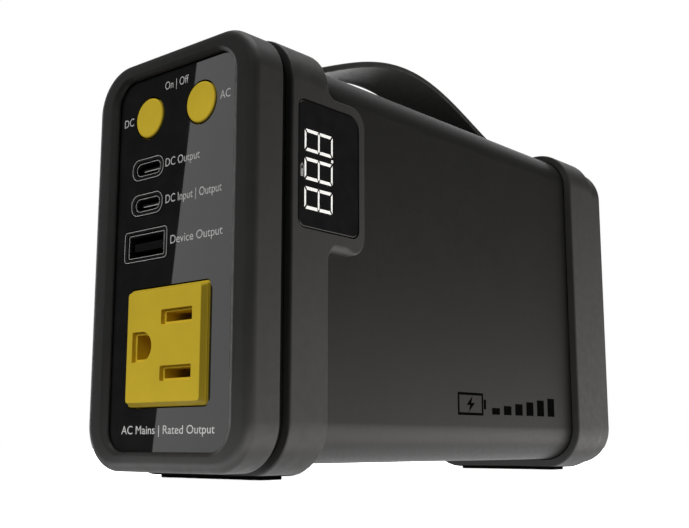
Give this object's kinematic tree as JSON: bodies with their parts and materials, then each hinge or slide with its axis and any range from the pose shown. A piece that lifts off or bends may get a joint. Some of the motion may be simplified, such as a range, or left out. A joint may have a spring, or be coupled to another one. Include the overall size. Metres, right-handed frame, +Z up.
{
  "type": "portable power station",
  "caption": "Small upright power station with a strap handle, yellow mains outlet and push buttons, USB ports and a side display.",
  "frame": {"origin": "middle of the footprint, on the surface the foot pads stand on", "axes": "+Z up, the front panel faces -Y, the display is on the +X side"},
  "size_m": [0.0564, 0.159, 0.1151],
  "materials": {
    "body_coating": "satin black coating over aluminium",
    "case_plastic": "fine-grained moulded plastic",
    "rubber": "matt",
    "black_steel": "blackened",
    "window_glass": "gloss, dark tinted",
    "gloss_black": "high gloss",
    "black_nylon": "satin",
    "bright_steel": "plated",
    "port_tongue": "satin",
    "yellow_plastic": "satin moulded plastic",
    "circuit_board": "solder mask",
    "brass": "plain",
    "strap_rubber": "satin",
    "cell_wrap": "plastic sleeve",
    "holder_plastic": "satin",
    "nickel": "plain",
    "insulation_sheet": "fibre sheet",
    "ferrite": "matt",
    "copper_winding": "enamelled",
    "aluminium": "sawn extrusion"
  },
  "bodies": {
    "station": {"ac_switch": "black_nylon", "battery_board": "circuit_board", "body_shell": "body_coating", "bus_plate_front": "nickel", "bus_plate_rear": "nickel", "capacitor_lower": "black_nylon", "capacitor_upper": "black_nylon", "cell_bottom_left": "cell_wrap", "cell_bottom_right": "cell_wrap", "cell_holder_front": "holder_plastic", "cell_holder_rear": "holder_plastic", "cell_lower_left": "cell_wrap", "cell_lower_right": "cell_wrap", "cell_top_left": "cell_wrap", "cell_top_right": "cell_wrap", "cell_upper_left": "cell_wrap", "cell_upper_right": "cell_wrap", "cover_screw_lower_left": "black_steel", "cover_screw_lower_right": "black_steel", "cover_screw_upper_left": "black_steel", "cover_screw_upper_right": "black_steel", "dc_switch": "black_nylon", "display_module": "gloss_black", "display_window": "window_glass", "divider_sheet": "insulation_sheet", "earth_contact": "brass", "front_bumper": "case_plastic", "front_collar": "case_plastic", "front_foot_pad": "rubber", "front_panel": "gloss_black", "handle_screw_front": "black_steel", "handle_screw_rear": "black_steel", "handle_strap": "strap_rubber", "heatsink": "aluminium", "hot_contact": "brass", "inverter_board": "circuit_board", "neutral_contact": "brass", "outlet_block": "yellow_plastic", "port_board": "circuit_board", "rear_collar": "case_plastic", "rear_cover": "case_plastic", "rear_foot_pad": "rubber", "transformer_coil": "copper_winding", "transformer_core": "ferrite", "usb_a_bezel": "black_nylon", "usb_a_shell": "bright_steel", "usb_a_tongue": "port_tongue", "usb_c_lower_bezel": "black_nylon", "usb_c_lower_shell": "bright_steel", "usb_c_lower_tongue": "port_tongue", "usb_c_upper_bezel": "black_nylon", "usb_c_upper_shell": "bright_steel", "usb_c_upper_tongue": "port_tongue"},
    "dc_button": {"dc_button": "yellow_plastic"},
    "ac_button": {"ac_button": "yellow_plastic"}
  },
  "joints": [
    {"name": "dc_button_press", "type": "slide", "parent": "station", "child": "dc_button", "axis": [0, 1, 0], "range_m": [0, 0.0012], "stiffness_N_per_m": 1800, "springref_m": -0.0003},
    {"name": "ac_button_press", "type": "slide", "parent": "station", "child": "ac_button", "axis": [0, 1, 0], "range_m": [0, 0.0012], "stiffness_N_per_m": 1800, "springref_m": -0.0003}
  ]
}
